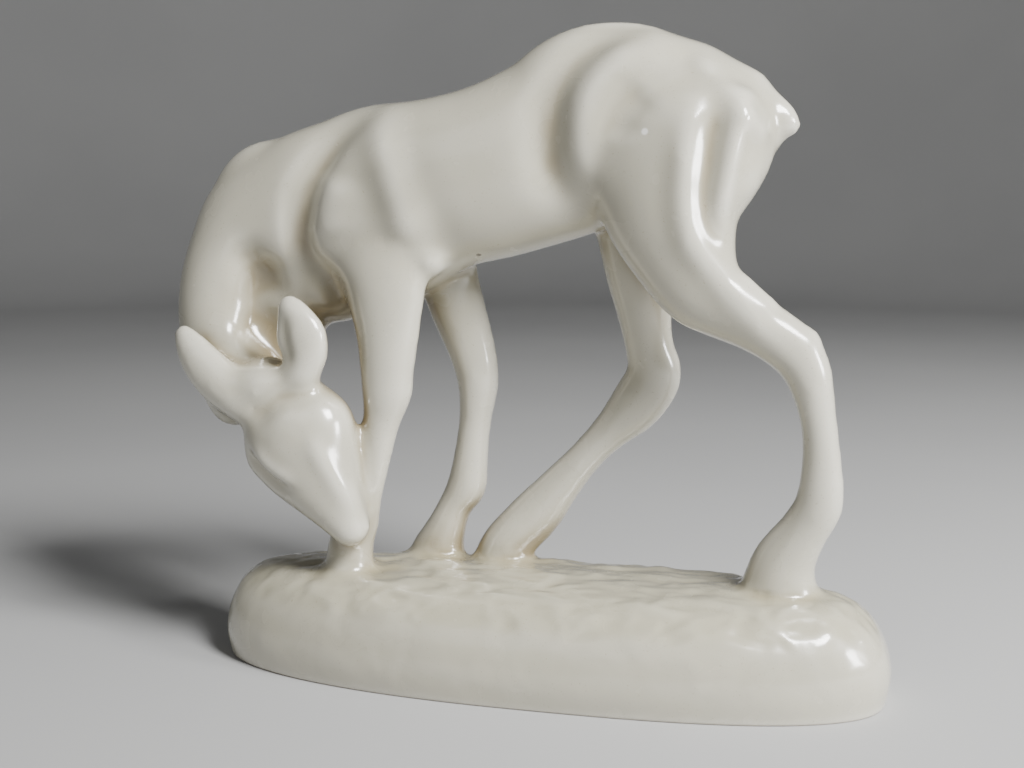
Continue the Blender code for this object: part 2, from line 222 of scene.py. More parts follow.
@dataclass
class Torso:
    """Barrel of the deer from its brisket to its tail, with the creases of shoulder and haunch."""

    midline: float = 12.0
    barrel: Stations = (
        (-112, 12.0, 149, 32, 20),
        (-92, 12.0, 152, 43, 26),
        (-70, 12.0, 160, 43.5, 28),
        (-45, 12.0, 167.5, 38, 29),
        (-22, 12.0, 173, 38, 28),
        (2, 12.0, 181.5, 39.8, 26),
        (24, 12.0, 191, 43, 26),
        (50, 12.0, 190.5, 39.5, 26),
        (68, 12.0, 191.5, 33, 22),
        (77, 12.0, 191.5, 26.5, 18.5),
        (84.5, 12.0, 190.5, 22, 14.5),
        (89, 12.0, 188.5, 15.5, 11.5),
    )
    brisket: Stations = (
        (-104, 12.0, 150, 26, 19),
        (-94, 12.0, 123, 23, 17),
    )
    tail: Stations = (
        (85, 12, 202.5, 8.5, 8.5),
        (93.5, 11, 199, 6, 6.4),
        (99.8, 10, 193.5, 5.6, 5.8),
        (101.8, 10, 190.2, 5, 5.4),
    )
    seat_bone: Stations = (
        (82, 9, 192, 13, 12),
        (83, 6, 180, 13.4, 12),
        (80.5, 3, 168, 10.8, 11.5),
        (76, 0, 157, 8.4, 10.5),
        (73, -1, 148, 7.4, 10),
    )
    creases: tuple[Mark, ...] = (
        Mark(-4.4, 7.0, (
            (-66, 202), (-74, 198), (-87, 188), (-96.5, 174), (-103, 157), (-105.3, 144), (-102.5, 134.5),
            (-94.5, 127), (-85, 120), (-77, 110),
        )),
        Mark(1.6, 12.0, ((-84, 172), (-90, 157), (-88, 142))),
        Mark(3.0, 9.5, ((-72, 203), (-67, 189), (-61, 171), (-56, 156), (-53, 143), (-50, 130))),
        Mark(-0.6, 11.0, ((-75, 178), (-69, 160), (-66, 148))),
        Mark(-1.1, 9.0, ((-62, 196), (-54, 174), (-47, 157), (-42, 146), (-38, 136), (-40, 126))),
        Mark(-5.0, 9.0, (
            (56, 231), (42, 229), (27.5, 226), (16, 217), (8.5, 204.5), (6.5, 190), (8, 174),
            (15.5, 159), (25, 148),
        )),
        Mark(2.8, 9.5, ((58, 224), (35, 218), (23, 205), (19, 189), (20.5, 172), (29, 153))),
        Mark(-1.5, 10.0, ((47, 205), (38, 194), (37, 182))),
        Mark(3.4, 6.5, (
            (66, 204), (64.2, 189), (63, 172), (63.3, 157), (66, 143.5), (74, 132.5), (85, 120),
            (96, 109), (107, 101),
        )),
        Mark(-2.6, 5.5, ((75, 208), (73, 194), (70.5, 176), (69.5, 160), (73, 147), (81, 134))),
        Mark(3.4, 4.5, ((86, 210), (83, 194), (79, 175), (76, 160), (75.5, 149), (80, 138))),
        Mark(1.6, 4.0, ((84, 134), (92, 125), (101, 115))),
        Mark(1.8, 5.0, ((83, 193), (76.5, 205), (70, 211), (60, 216))),
        Mark(1.6, 3.6, ((84.5, 188), (87, 196))),
        Mark(1.4, 3.4, ((89, 183), (91, 191))),
    )

    def masses(self) -> list[Mass]:
        """The torso's lumps of clay."""
        return [
            Mass(self.barrel, sides=40),
            Mass(self.brisket),
            Mass(self.seat_bone),
            Mass(self.tail, sides=20),
        ]

    def near(self, points: np.ndarray) -> np.ndarray:
        """How far each point belongs to the near flank, 0 to 1."""
        return eased((self.midline - points[:, 1]) / 8) * (points[:, 0] > -112)

    def far(self, points: np.ndarray) -> np.ndarray:
        """How far each point belongs to the far flank, 0 to 1."""
        return eased((points[:, 1] - self.midline) / 8) * (points[:, 0] > -112)

    def mark_sets(self) -> list[MarkSet]:
        """The creases of both flanks."""
        return [
            MarkSet(Facing.NEAR, self.creases, self.near),
            MarkSet(Facing.FAR, self.creases, self.far),
        ]


@dataclass
class Neck:
    """Neck that arches down in front of the chest, with the web of clay behind the poll."""

    arch: Stations = (
        (-88, 12, 163, 35, 25),
        (-112, 11, 157, 33, 23),
        (-134, 9, 149, 27.5, 20),
        (-146, 6, 135, 20.3, 17.5),
        (-151, 4, 120, 18.6, 16.5),
        (-150.5, 1, 104, 18.4, 15.5),
        (-144, -4, 89, 18, 15),
        (-133.5, -11, 75, 17.5, 14),
    )
    web: Stations = (
        (-106, 9, 141, 22, 14),
        (-115, 10, 124, 21, 13),
        (-123, 10, 103, 20, 10.5),
        (-126, 6, 84, 16, 9),
    )
    crest: Stations = (
        (-118, 10, 168, 21, 13),
        (-130, 9, 166.5, 20, 12.5),
        (-138, 8, 160.5, 18, 12),
    )
    folds: tuple[Mark, ...] = (
        Mark(-2.8, 8.0, ((-138, 143), (-130, 133), (-122, 122), (-120, 112))),
    )
    hollow: tuple[Mark, ...] = (
        Mark(-3.4, 9.0, ((-131, 114), (-127.5, 104), (-125, 96), (-123.5, 84))),
    )

    def masses(self) -> list[Mass]:
        """The neck's lumps of clay."""
        return [Mass(self.arch, sides=36), Mass(self.web), Mass(self.crest)]

    def throat(self, points: np.ndarray) -> np.ndarray:
        """How far each point belongs to the neck's near side, 0 to 1."""
        return eased((-108 - points[:, 0]) / 8) * (points[:, 2] > 140)

    def pocket(self, points: np.ndarray) -> np.ndarray:
        """How far each point lies on the throat behind the ears, 0 to 1."""
        return eased((points[:, 1] + 17) / 6) * (points[:, 0] < -108) * (points[:, 2] > 116)

    def mark_sets(self) -> list[MarkSet]:
        """The fold under the shoulder and the hollow behind the ears."""
        return [
            MarkSet(Facing.NEAR, self.folds, self.throat),
            MarkSet(Facing.NEAR, self.hollow, self.pocket),
        ]


@dataclass
class Head:
    """Head turned towards the viewer, with its two ears, eye creases and nose ridge."""

    skull: Stations = (
        (-119, -15, 80, 13, 13),
        (-111.5, -17, 70, 21, 17),
        (-104, -19, 58.5, 27, 18.5),
        (-97.5, -20, 47, 23.5, 17),
        (-90.5, -21, 36, 17.5, 14),
        (-84, -21.5, 26, 12.2, 11),
        (-79.8, -21.5, 19.5, 9.2, 9.3),
    )
    poll: Stations = (
        (-127, -24, 79.5, 9.5, 9),
        (-117, -24, 79, 11, 10),
        (-108, -23, 79.5, 10, 9),
    )
    left_ear: Stations = (
        (-117, -22, 67, 9, 10),
        (-129, -25, 75.5, 10.3, 9),
        (-138.5, -26, 83, 10.6, 8),
        (-146, -26, 91, 9.6, 7),
        (-151.5, -25.5, 98.5, 7.4, 5.5),
        (-154.5, -25, 103, 5, 4.2),
    )
    right_ear: Stations = (
        (-107, -22, 66, 8, 9.5),
        (-102.5, -23, 77, 8, 9),
        (-99.5, -24, 87, 8.6, 8),
        (-97.8, -24.5, 95.5, 11.2, 7),
        (-99, -25, 102.5, 12.4, 6.2),
        (-101.3, -25, 109, 10.4, 5.4),
        (-103.6, -25, 114.5, 7.6, 4.6),
        (-105, -25, 117, 5.4, 4),
    )
    features: tuple[Mark, ...] = (
        Mark(-3.8, 3.0, ((-125, 54), (-120.5, 49), (-114.5, 43), (-108, 39), (-100, 36))),
        Mark(1.6, 3.5, ((-121, 56), (-113, 48), (-105, 43), (-98, 40))),
        Mark(-1.8, 5.0, ((-90, 78), (-102, 78), (-112, 72), (-119, 62))),
        Mark(2.0, 4.0, ((-93, 64), (-86.5, 50), (-80, 38), (-74, 26))),
        Mark(-1.8, 3.0, ((-106, 115), (-105.5, 104), (-103.5, 95), (-103, 87))),
    )

    def masses(self) -> list[Mass]:
        """The head's lumps of clay."""
        skull = Mass(self.skull, sides=36)
        return [skull, Mass(self.poll), Mass(self.left_ear, sides=24), Mass(self.right_ear, sides=24)]

    def face(self, points: np.ndarray) -> np.ndarray:
        """How far each point belongs to the front of the head, 0 to 1."""
        return eased((-12 - points[:, 1]) / 5) * eased((-68 - points[:, 0]) / 5)

    def mark_sets(self) -> list[MarkSet]:
        """The features of the face."""
        return [MarkSet(Facing.NEAR, self.features, self.face)]


@dataclass
class Forelegs:
    """Near foreleg under the shoulder, and far foreleg stepping back."""

    near: Stations = (
        (-78, 0, 150, 27, 13),
        (-70, -4, 130, 22, 12),
        (-66.5, -7, 108, 15.5, 11),
        (-66.5, -8.0, 86, 12.2, 10),
        (-66.7, -8.0, 77, 11.6, 10),
        (-69.5, -8.0, 63, 8.4, 8),
        (-74, -8.0, 41, 7.0, 7.2),
        (-77.5, -8.0, 28, 7.4, 7.5),
        (-80.5, -7, 17, 8.8, 8.5),
        (-84.5, -7, 10, 10.4, 10),
        (-86, -8, -4, 10.6, 11.5),
    )
    near_elbow: Stations = (
        (-60, 0, 145, 14, 11),
        (-52, -2, 139, 11, 10),
        (-48.5, -3, 135.5, 8.5, 8.5),
    )
    far: Stations = (
        (-55, 22, 146, 22, 11),
        (-49, 26, 127, 15, 11),
        (-44, 28.0, 110, 13.2, 10),
        (-38, 28.0, 93, 11.4, 9.5),
        (-35, 28.0, 78, 9.9, 9.5),
        (-36.5, 28.0, 60, 7.8, 8),
        (-39, 28.0, 40, 8.6, 8),
        (-41, 28.0, 28, 9.8, 8.5),
        (-46, 28.0, 20, 8.2, 8.5),
        (-50, 27, 10, 9.5, 9.5),
        (-55, 27, -3, 13, 12),
    )

    def masses(self) -> list[Mass]:
        """The forelegs' lumps of clay."""
        return [Mass(self.near), Mass(self.near_elbow), Mass(self.far)]


@dataclass
class HindLegs:
    """Near hind leg set back with its pointed hock, and far hind leg stepping under the belly."""

    near: Stations = (
        (54, 2, 190, 41, 20),
        (55.5, 0, 171, 37.5, 19),
        (56.5, -2, 153, 28.8, 17.5),
        (62.5, -3, 135, 21.5, 15),
        (69.5, -3.5, 124, 18, 13),
        (77.5, -4.0, 118, 15, 11.5),
        (92, -4.0, 109.5, 12, 10),
        (104, -4.0, 101.5, 11.3, 9.5),
        (111.5, -4.0, 92, 10.2, 9),
        (116, -4.0, 76, 8.0, 8),
        (118.5, -4.0, 60, 7.8, 7.5),
        (119, -4, 46, 9.2, 8),
        (118, -3, 35, 10.2, 8.5),
        (112.3, -1, 24, 10.6, 9),
        (105, 1, 10, 13.5, 11),
        (103, 2, -4, 17, 14),
    )
    near_hock: Stations = (
        (103, -4.0, 104, 9, 7.5),
        (110.5, -4.0, 100.5, 9.5, 7),
    )
    far: Stations = (
        (46, 22, 180, 34, 17),
        (42, 25, 155, 26, 14),
        (39.5, 27, 131, 17, 12),
        (41, 28.0, 112, 12.6, 11),
        (43.5, 28.0, 96, 11, 10),
        (46, 28.0, 84, 12.5, 9.5),
        (38, 28.0, 70, 12.5, 9),
        (26, 28.0, 57, 9, 8),
        (15, 28.0, 45, 8.2, 8),
        (4, 28.0, 32, 9.8, 8.5),
        (-7, 28, 18, 12, 10),
        (-20, 27, 4, 12, 12),
        (-25, 27, -4, 12, 13),
    )

    def masses(self) -> list[Mass]:
        """The hind legs' lumps of clay."""
        return [Mass(self.near, sides=32), Mass(self.near_hock), Mass(self.far)]


@dataclass
class Mound:
    """Rounded ground under the deer: a long oval, blunter at the rump end, on a bare foot ring."""

    length: float = 297.5
    centre_x: float = 1.2
    depth: float = 99.0
    height: float = 44.5
    edge_radius: float = 27.0
    tuck: float = 2.0
    footing: float = 1.5
    crown: float = 1.5
    blunt_power: float = 2.65
    slim_power: float = 2.25
    foot_ring: float = 9.0
    recess: float = 2.0
    foot_round: float = 1.2
    hummock_height: float = 5.0
    hummock_length: float = 24.0
    hummock_breadth: float = 13.0
    seed: float = 7.3

    def datum(self) -> float:
        """Height of the animal's zero above the table."""
        return self.height + self.footing

    def outline(self, count: int = 144) -> list[tuple[float, float]]:
        """Plan outline of the mound.

        Args:
            count: Number of points round it.

        Returns:
            Points about the mound's own centre, in millimetres.
        """
        points = []
        for k in range(count):
            turn = math.tau * k / count
            power = 2 / (self.blunt_power if math.cos(turn) > 0 else self.slim_power)
            x = math.copysign(abs(math.cos(turn)) ** power, math.cos(turn)) * self.length / 2
            y = math.copysign(abs(math.sin(turn)) ** power, math.sin(turn)) * self.depth / 2
            points.append((x, y))
        return points

    def contours(self) -> list[tuple[float, float]]:
        """Inset and height of each contour, from under the table up to the crown."""
        shoulder = self.height * 0.24
        levels = [(self.tuck * 1.6, -6.0), (self.tuck, 0.0), (self.tuck * 0.35, shoulder * 0.5)]
        for turn in np.radians(np.arange(0, 86, 8)):
            rise = (self.height - self.crown - shoulder) * math.sin(turn)
            levels.append((self.edge_radius * (1 - math.cos(turn)), shoulder + rise))
        for share in (0.35, 0.7):
            inset = self.edge_radius + (self.depth / 2 - self.edge_radius) * share
            levels.append((inset, self.height - self.crown + self.crown * share))
        return levels

    def loft(self, bm: bmesh.types.BMesh) -> None:
        """Adds the mound to a mesh as one closed surface.

        Args:
            bm: Mesh under construction.
        """
        outline = self.outline()
        loops = []
        for inset, height in self.contours():
            narrow_x = 1 - inset / (self.length / 2)
            narrow_y = 1 - inset / (self.depth / 2)
            loops.append(
                [
                    bm.verts.new(Vector((self.centre_x + x * narrow_x, y * narrow_y, height)) * MM)
                    for x, y in outline
                ]
            )
        for low, high in zip(loops, loops[1:]):
            for k in range(len(outline)):
                following = (k + 1) % len(outline)
                bm.faces.new((low[k], low[following], high[following], high[k]))
        bm.faces.new(loops[0][::-1])
        bm.faces.new(loops[-1])

    def relief(self, finish: bpy.types.Material) -> bpy.types.NodeTree:
        """Builds the nodes that press hummocks and tool marks into the ground.

        Args:
            finish: Material that the relief leaves on the surface.

        Returns:
            A Geometry Nodes tree with the hummocks' sizes and seed as inputs.
        """
        tree = bpy.data.node_groups.new("mound relief", "GeometryNodeTree")
        face = tree.interface
        face.new_socket("Geometry", in_out="INPUT", socket_type="NodeSocketGeometry")
        for name in ("Height", "Length", "Breadth", "Seed"):
            face.new_socket(name, in_out="INPUT", socket_type="NodeSocketFloat")
        face.new_socket("Geometry", in_out="OUTPUT", socket_type="NodeSocketGeometry")
        nodes, links = tree.nodes, tree.links
        given = nodes.new("NodeGroupInput")
        made = nodes.new("NodeGroupOutput")
        place = nodes.new("GeometryNodeInputPosition")
        normal = nodes.new("GeometryNodeInputNormal")
        ground = nodes.new("GeometryNodeInputNamedAttribute")
        ground.data_type = "FLOAT"
        ground.inputs["Name"].default_value = Attribute.GROUND.value
        cell = nodes.new("ShaderNodeCombineXYZ")
        stretch = nodes.new("ShaderNodeVectorMath")
        stretch.operation = "DIVIDE"
        lumps = nodes.new("ShaderNodeTexNoise")
        lumps.noise_dimensions = "4D"
        for name, value in (("Scale", 1.0), ("Detail", 2.0), ("Roughness", 0.55), ("Distortion", 0.7)):
            lumps.inputs[name].default_value = value
        middle, rise, held = (nodes.new("ShaderNodeMath") for _ in range(3))
        middle.operation, rise.operation, held.operation = "SUBTRACT", "MULTIPLY", "MULTIPLY"
        middle.inputs[1].default_value = 0.5
        travel = nodes.new("ShaderNodeVectorMath")
        travel.operation = "SCALE"
        move = nodes.new("GeometryNodeSetPosition")
        real = nodes.new("GeometryNodeRealizeInstances")
        glaze = nodes.new("GeometryNodeSetMaterial")
        glaze.inputs["Material"].default_value = finish
        for source, out, target, socket in (
            (given, "Length", cell, "X"),
            (given, "Breadth", cell, "Y"),
            (given, "Length", cell, "Z"),
            (place, "Position", stretch, 0),
            (cell, "Vector", stretch, 1),
            (stretch, "Vector", lumps, "Vector"),
            (given, "Seed", lumps, "W"),
            (lumps, "Fac", middle, 0),
            (middle, 0, rise, 0),
            (given, "Height", rise, 1),
            (rise, 0, held, 0),
            (ground, "Attribute", held, 1),
            (normal, "Normal", travel, 0),
            (held, 0, travel, "Scale"),
            (given, "Geometry", move, "Geometry"),
            (travel, "Vector", move, "Offset"),
            (move, "Geometry", real, "Geometry"),
            (real, "Geometry", glaze, "Geometry"),
            (glaze, "Geometry", made, "Geometry"),
        ):
            links.new(source.outputs[out], target.inputs[socket])
        return tree

    def press_relief(self, obj: bpy.types.Object, finish: bpy.types.Material) -> None:
        """Runs the relief's nodes on a surface and keeps their result as its mesh.

        Args:
            obj: Surface with the ground attribute.
            finish: Material that the relief leaves on the surface.
        """
        modifier = obj.modifiers.new("mound relief", "NODES")
        modifier.node_group = self.relief(finish)
        sizes = {
            "Height": self.hummock_height * MM,
            "Length": self.hummock_length * MM,
            "Breadth": self.hummock_breadth * MM,
            "Seed": self.seed,
        }
        for item in modifier.node_group.interface.items_tree:
            if item.in_out == "INPUT" and item.name in sizes:
                modifier[item.identifier] = sizes[item.name]
        settle(obj)

    def trim_foot(self, obj: bpy.types.Object) -> None:
        """Cuts the surface level above the table and gives it a rounded foot ring and a recess.

        Args:
            obj: Closed surface that reaches below the table plane.
        """
        bm = bmesh.new()
        bm.from_mesh(obj.data)
        bmesh.ops.bisect_plane(
            bm,
            geom=bm.verts[:] + bm.edges[:] + bm.faces[:],
            dist=1e-6,
            plane_co=(0, 0, self.foot_round * MM),
            plane_no=(0, 0, 1),
            clear_inner=True,
        )
        rim = [edge for edge in bm.edges if edge.is_boundary]
        centre = Vector((self.centre_x * MM, 0.0, 0.0))
        profile = (
            (0.3, self.foot_round * 0.42),
            (0.75, self.foot_round * 0.12),
            (1.4, 0.0),
            (self.foot_ring - 1.0, 0.0),
            (self.foot_ring - 0.3, 0.25),
            (self.foot_ring + 0.5, self.recess * 0.8),
            (self.foot_ring + 1.6, self.recess),
            (self.depth * 0.36, self.recess),
        )
        inset_before = 0.0
        for inset, height in profile:
            grown = bmesh.ops.extrude_edge_only(bm, edges=rim)["geom"]
            verts = [item for item in grown if isinstance(item, bmesh.types.BMVert)]
            rim = [item for item in grown if isinstance(item, bmesh.types.BMEdge) and item.is_boundary]
            for vert in verts:
                flat = Vector((vert.co.x - centre.x, vert.co.y - centre.y, 0.0))
                step = (inset - inset_before) * MM
                spine = Vector((max(-0.1, min(0.1, flat.x)), 0.0, 0.0))
                inward = (flat - spine).normalized()
                vert.co -= inward * step
                vert.co.z = height * MM
            inset_before = inset
        bmesh.ops.holes_fill(bm, edges=rim, sides=0)
        bmesh.ops.triangulate(bm, faces=[face for face in bm.faces if len(face.verts) > 4])
        bmesh.ops.recalc_face_normals(bm, faces=bm.faces)
        bm.to_mesh(obj.data)
        bm.free()


def settle(obj: bpy.types.Object) -> None:
    """Replaces an object's mesh with what its modifiers make of it.

    Args:
        obj: Object whose modifiers are then removed.
    """
    bpy.context.view_layer.update()
    evaluated = obj.evaluated_get(bpy.context.evaluated_depsgraph_get())
    mesh = bpy.data.meshes.new_from_object(evaluated)
    obj.modifiers.clear()
    obj.data = mesh


def read_points(mesh: bpy.types.Mesh, kind: str = "co") -> np.ndarray:
    """Reads one vector of every vertex.

    Args:
        mesh: Mesh to read.
        kind: "co" for places, "normal" for directions.

    Returns:
        One row for each vertex.
    """
    values = np.empty(len(mesh.vertices) * 3)
    mesh.vertices.foreach_get(kind, values)
    return values.reshape(-1, 3)


def write_points(mesh: bpy.types.Mesh, points: np.ndarray) -> None:
    """Moves every vertex.

    Args:
        mesh: Mesh to change.
        points: New place of each vertex, in metres.
    """
    mesh.vertices.foreach_set("co", points.ravel())
    mesh.update()


@dataclass
class Skin:
    """The one outer surface of the casting, from loose lumps of clay to the finished shape."""

    masses: list[Mass]
    mark_sets: list[MarkSet]
    mound: Mound
    grain: float = 1.54
    softening: int = 24
    polishing: int = 8
    filleting: int = 45
    fillet_from: tuple[float, float] = (0.20, 0.45)
    # rays that measure how closed in each point lies, for the painted shade
    feelers: int = 10
    feeler_start: float = 0.5
    feeler_reach: float = 70.0
    pool_gain: float = 1.6
    obj: bpy.types.Object | None = None
    shift: Vector = field(default_factory=Vector)

    def merge(self) -> None:
        """Lays all lumps over one another and merges them into one surface."""
        bm = bmesh.new()
        self.mound.loft(bm)
        for mass in self.masses:
            mass.loft(bm, self.mound.datum())
        bmesh.ops.recalc_face_normals(bm, faces=bm.faces)
        mesh = bpy.data.meshes.new("glazed_deer")
        bm.to_mesh(mesh)
        bm.free()
        self.obj = bpy.data.objects.new("glazed_deer", mesh)
        bpy.context.scene.collection.objects.link(self.obj)
        remesh = self.obj.modifiers.new("merge", "REMESH")
        remesh.mode = "VOXEL"
        remesh.voxel_size = self.grain * MM
        settle(self.obj)

    def soften(self, passes: int) -> None:
        """Rubs the surface smooth.

        Args:
            passes: Number of times it is rubbed.
        """
        smooth = self.obj.modifiers.new("soften", "SMOOTH")
        smooth.factor = 0.5
        smooth.iterations = passes
        settle(self.obj)

    def press(self) -> None:
        """Presses every crease and raises every ridge of the mark sets."""
        mesh = self.obj.data
        for group in self.mark_sets:
            points = read_points(mesh) / MM
            normals = read_points(mesh, "normal")
            seen = eased(normals[:, 1] * group.facing.value * 2 + 0.12) * group.zone(points)
            side_view = points[:, [0, 2]] - (0.0, self.mound.datum())
            for mark in group.marks:
                points += normals * (seen * mark.lift(side_view))[:, None]
            write_points(mesh, points * MM)

    def note_ground(self) -> None:
        """Marks how far each point belongs to the mound's worked top."""
        mesh = self.obj.data
        points = read_points(mesh) / MM
        normals = read_points(mesh, "normal")
        height = self.mound.height
        level = eased((normals[:, 2] - 0.25) / 0.5) * eased((points[:, 2] - 0.55 * height) / 10)
        level *= points[:, 2] < height + 4
        side = 0.22 * eased(points[:, 2] / 12) * (points[:, 2] < height)
        self.note(Attribute.GROUND, np.maximum(level, side))

    def note(self, attribute: Attribute, values: np.ndarray) -> None:
        """Stores one number on each point.

        Args:
            attribute: Name that the nodes read it by.
            values: One number for each vertex.
        """
        mesh = self.obj.data
        layer = mesh.attributes.get(attribute.value) or mesh.attributes.new(
            attribute.value, "FLOAT", "POINT"
        )
        layer.data.foreach_set("value", values.astype(np.float32))

    def spread(self, values: np.ndarray, passes: int) -> np.ndarray:
        """Averages each point's value with its neighbours'.

        Args:
            values: One number for each vertex.
            passes: Number of times it is averaged.

        Returns:
            The spread values.
        """
        mesh = self.obj.data
        ends = np.empty(len(mesh.edges) * 2, np.int64)
        mesh.edges.foreach_get("vertices", ends)
        first, second = ends[::2], ends[1::2]
        count = len(mesh.vertices)
        share = np.maximum(np.bincount(ends, minlength=count), 1)
        for _ in range(passes):
            total = np.bincount(first, values[second], count) + np.bincount(second, values[first], count)
            values = 0.5 * values + 0.5 * total / share
        return values

    def rubbed(self, points: np.ndarray, passes: int) -> np.ndarray:
        """Places of the points once each is averaged with its neighbours.

        Args:
            points: Places in millimetres.
            passes: Number of times they are averaged.

        Returns:
            One row for each vertex.
        """
        return np.stack([self.spread(points[:, k].copy(), passes) for k in range(3)], axis=1)

    def bowl(self, points: np.ndarray, passes: int) -> np.ndarray:
        """How deep the surface dips round each point, in millimetres, below 0 where it bulges.

        Args:
            points: Places in millimetres.
            passes: Number of times the depth is averaged.

        Returns:
            One depth for each vertex.
        """
        dip = ((self.rubbed(points, 6) - points) * read_points(self.obj.data, "normal")).sum(axis=1)
        return self.spread(dip, passes)

    def fillet(self) -> None:
        """Rounds the tight joins between limbs, as a wet finger does, and leaves all else."""
        points = read_points(self.obj.data) / MM
        low, high = self.fillet_from
        tight = eased((self.bowl(points, 5) - low) / (high - low))
        tight = np.minimum(1.0, 1.5 * self.spread(tight, 8))[:, None]
        for _ in range(self.filleting):
            points += (self.rubbed(points, 1) - points) * tight
        write_points(self.obj.data, points * MM)

    def note_pools(self) -> None:
        """Marks where glaze gathers in hollows, above a half, and runs thin over edges, below it."""
        bowl = self.bowl(read_points(self.obj.data) / MM, 12)
        self.note(Attribute.POOL, np.clip(0.5 + self.pool_gain * bowl, 0.0, 1.0))

    def fan(self) -> list[Place]:
        """Directions spread evenly over the half ball above a surface, thickest straight out."""
        golden = math.pi * (3 - math.sqrt(5))
        rays = []
        for k in range(self.feelers):
            share = (k + 0.5) / self.feelers
            reach, turn = math.sqrt(share), k * golden
            rays.append((reach * math.cos(turn), reach * math.sin(turn), math.sqrt(1 - share)))
        return rays

    def note_painted_shade(self) -> None:
        """Marks painted shade: how closed in each point lies, 0 in the open, towards 1 in a deep fold."""
        mesh = self.obj.data
        points = read_points(mesh)
        faces = [tuple(face.vertices) for face in mesh.polygons]
        tree = BVHTree.FromPolygons(points.tolist(), faces)
        reach = self.feeler_reach * MM
        rays = self.fan()
        painted_shade = np.zeros(len(points))
        for k, (point, normal) in enumerate(zip(points.tolist(), read_points(mesh, "normal").tolist())):
            out = Vector(normal)
            side = out.orthogonal().normalized()
            up = out.cross(side)
            start = Vector(point) + out * (self.feeler_start * MM)
            for across, along, away in rays:
                gap = tree.ray_cast(start, side * across + up * along + out * away, reach)[3]
                if gap is not None:
                    painted_shade[k] += 1 - 0.7 * gap / reach
        self.note(Attribute.PAINTED_SHADE, self.spread(painted_shade / len(rays), 10))

    def note_foot(self) -> None:
        """Marks the bare underside, where the glaze was wiped off before firing."""
        points = read_points(self.obj.data) / MM
        self.note(Attribute.FOOT, 1 - eased((points[:, 2] - 0.15) / 0.7) * (self.outside(points)))

    def outside(self, points: np.ndarray) -> np.ndarray:
        """Whether each point lies outside the foot ring's inner edge.

        Args:
            points: Places in millimetres, before the figurine is centred.

        Returns:
            1 outside it and 0 within it.
        """
        inset = self.mound.tuck + self.mound.foot_ring * 0.5
        x = (points[:, 0] - self.mound.centre_x) / (self.mound.length / 2 - inset)
        y = points[:, 1] / (self.mound.depth / 2 - inset)
        within = (np.abs(x) ** 2.4 + np.abs(y) ** 2.4 < 1) & (points[:, 2] < self.mound.recess + 0.5)
        return (~within).astype(float)

    def seat(self) -> None:
        """Centres the surface on the cast solid and keeps it inside that solid's box."""
        low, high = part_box(NODE)
        points = read_points(self.obj.data)
        own_low, own_high = points.min(axis=0), points.max(axis=0)
        middle = (own_low + own_high) / 2
        aim = np.array((low + high) / 2)
        aim[2] = middle[2]
        fit = np.minimum(1.0, np.array(high - low) / (own_high - own_low))
        self.shift = Vector(aim - middle)
        points = (points - middle) * fit + aim
        points[:, 2] -= points[:, 2].min()
        write_points(self.obj.data, points)


